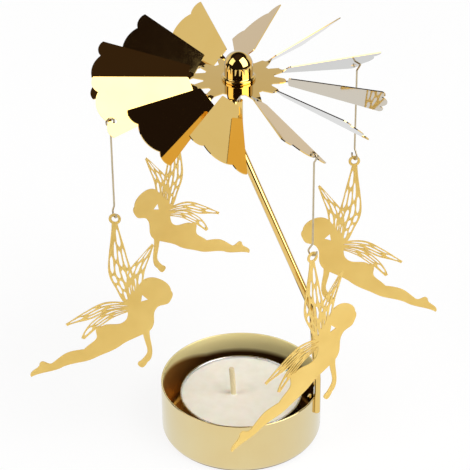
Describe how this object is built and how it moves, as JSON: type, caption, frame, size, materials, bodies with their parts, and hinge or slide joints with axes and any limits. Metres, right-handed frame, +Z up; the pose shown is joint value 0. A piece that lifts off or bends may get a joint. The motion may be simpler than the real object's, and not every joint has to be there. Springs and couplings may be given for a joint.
{
  "type": "angel chime carousel",
  "caption": "Candle-driven carousel: a tealight cup with a clip-on bent post, a pitched-vane rotor on a needle, and flat winged figures hung from wires.",
  "frame": {"origin": "centre of the cup's flat underside", "axes": "+Z up, +X from the cup's centre towards the post, +Y by the right-hand rule"},
  "size_m": [0.1035, 0.0972, 0.1348],
  "materials": {
    "polished_brass": "polished gold-brass plating",
    "plain_brass": "turned, unplated",
    "brass_wire": "bright drawn wire",
    "satin_gold": "satin gold, etched sheet",
    "needle_steel": "ground",
    "tinplate": "bright tin plate",
    "foil": "bright drawn foil",
    "wax": "smooth off-white paraffin",
    "wick_cotton": "braided, waxed cotton"
  },
  "bodies": {
    "base": {"candle_cup": "polished_brass"},
    "tealight": {"tealight_cup": "foil", "tealight_wax": "wax", "wick_sustainer": "tinplate", "tealight_wick": "wick_cotton"},
    "post": {"post": "polished_brass", "pivot_needle": "needle_steel"},
    "rotor": {"rotor": "polished_brass", "hub_dome": "polished_brass", "hub_bearing": "plain_brass", "hub_washer": "plain_brass"},
    "hanger_1": {"hanger_1": "brass_wire"},
    "fairy_1": {"fairy_1": "satin_gold"},
    "hanger_2": {"hanger_2": "brass_wire"},
    "fairy_2": {"fairy_2": "satin_gold"},
    "hanger_3": {"hanger_3": "brass_wire"},
    "fairy_3": {"fairy_3": "satin_gold"},
    "hanger_4": {"hanger_4": "brass_wire"},
    "fairy_4": {"fairy_4": "satin_gold"}
  },
  "joints": [
    {"name": "tealight_lift", "type": "slide", "parent": "base", "child": "tealight", "axis": [0, 0, 1], "range_m": [0, 0.03]},
    {"name": "post_unclip", "type": "slide", "parent": "base", "child": "post", "axis": [0, 0, 1], "range_m": [0, 0.012]},
    {"name": "rotor_spin", "type": "hinge", "parent": "post", "child": "rotor", "pos_m": [0, 0, 0.12884], "axis": [0, 0, 1], "continuous": true},
    {"name": "hanger_1_swing", "type": "hinge", "parent": "rotor", "child": "hanger_1", "pos_m": [0.02502, 0.03246, 0.12022], "axis": [0.7431, -0.6691, 0], "range_deg": [-4, 15]},
    {"name": "fairy_1_swing", "type": "hinge", "parent": "hanger_1", "child": "fairy_1", "pos_m": [0.02502, 0.03246, 0.08739], "axis": [-0.4493, 0.8934, 0], "range_deg": [-12, 12]},
    {"name": "hanger_2_swing", "type": "hinge", "parent": "rotor", "child": "hanger_2", "pos_m": [-0.03276, 0.02498, 0.12139], "axis": [0.6547, 0.7559, 0], "range_deg": [-4, 15]},
    {"name": "fairy_2_swing", "type": "hinge", "parent": "hanger_2", "child": "fairy_2", "pos_m": [-0.03276, 0.02498, 0.09195], "axis": [-0.8377, 0.5461, 0], "range_deg": [-12, 12]},
    {"name": "hanger_3_swing", "type": "hinge", "parent": "rotor", "child": "hanger_3", "pos_m": [-0.02588, -0.03237, 0.12279], "axis": [-0.7278, 0.6858, 0], "range_deg": [-4, 15]},
    {"name": "fairy_3_swing", "type": "hinge", "parent": "hanger_3", "child": "fairy_3", "pos_m": [-0.02588, -0.03237, 0.09136], "axis": [0.3256, -0.9455, 0], "range_deg": [-12, 12]},
    {"name": "hanger_4_swing", "type": "hinge", "parent": "rotor", "child": "hanger_4", "pos_m": [0.03281, -0.02441, 0.12004], "axis": [-0.6481, -0.7615, 0], "range_deg": [-4, 15]},
    {"name": "fairy_4_swing", "type": "hinge", "parent": "hanger_4", "child": "fairy_4", "pos_m": [0.03281, -0.02441, 0.0875], "axis": [0.832, -0.5548, 0], "range_deg": [-12, 12]}
  ]
}
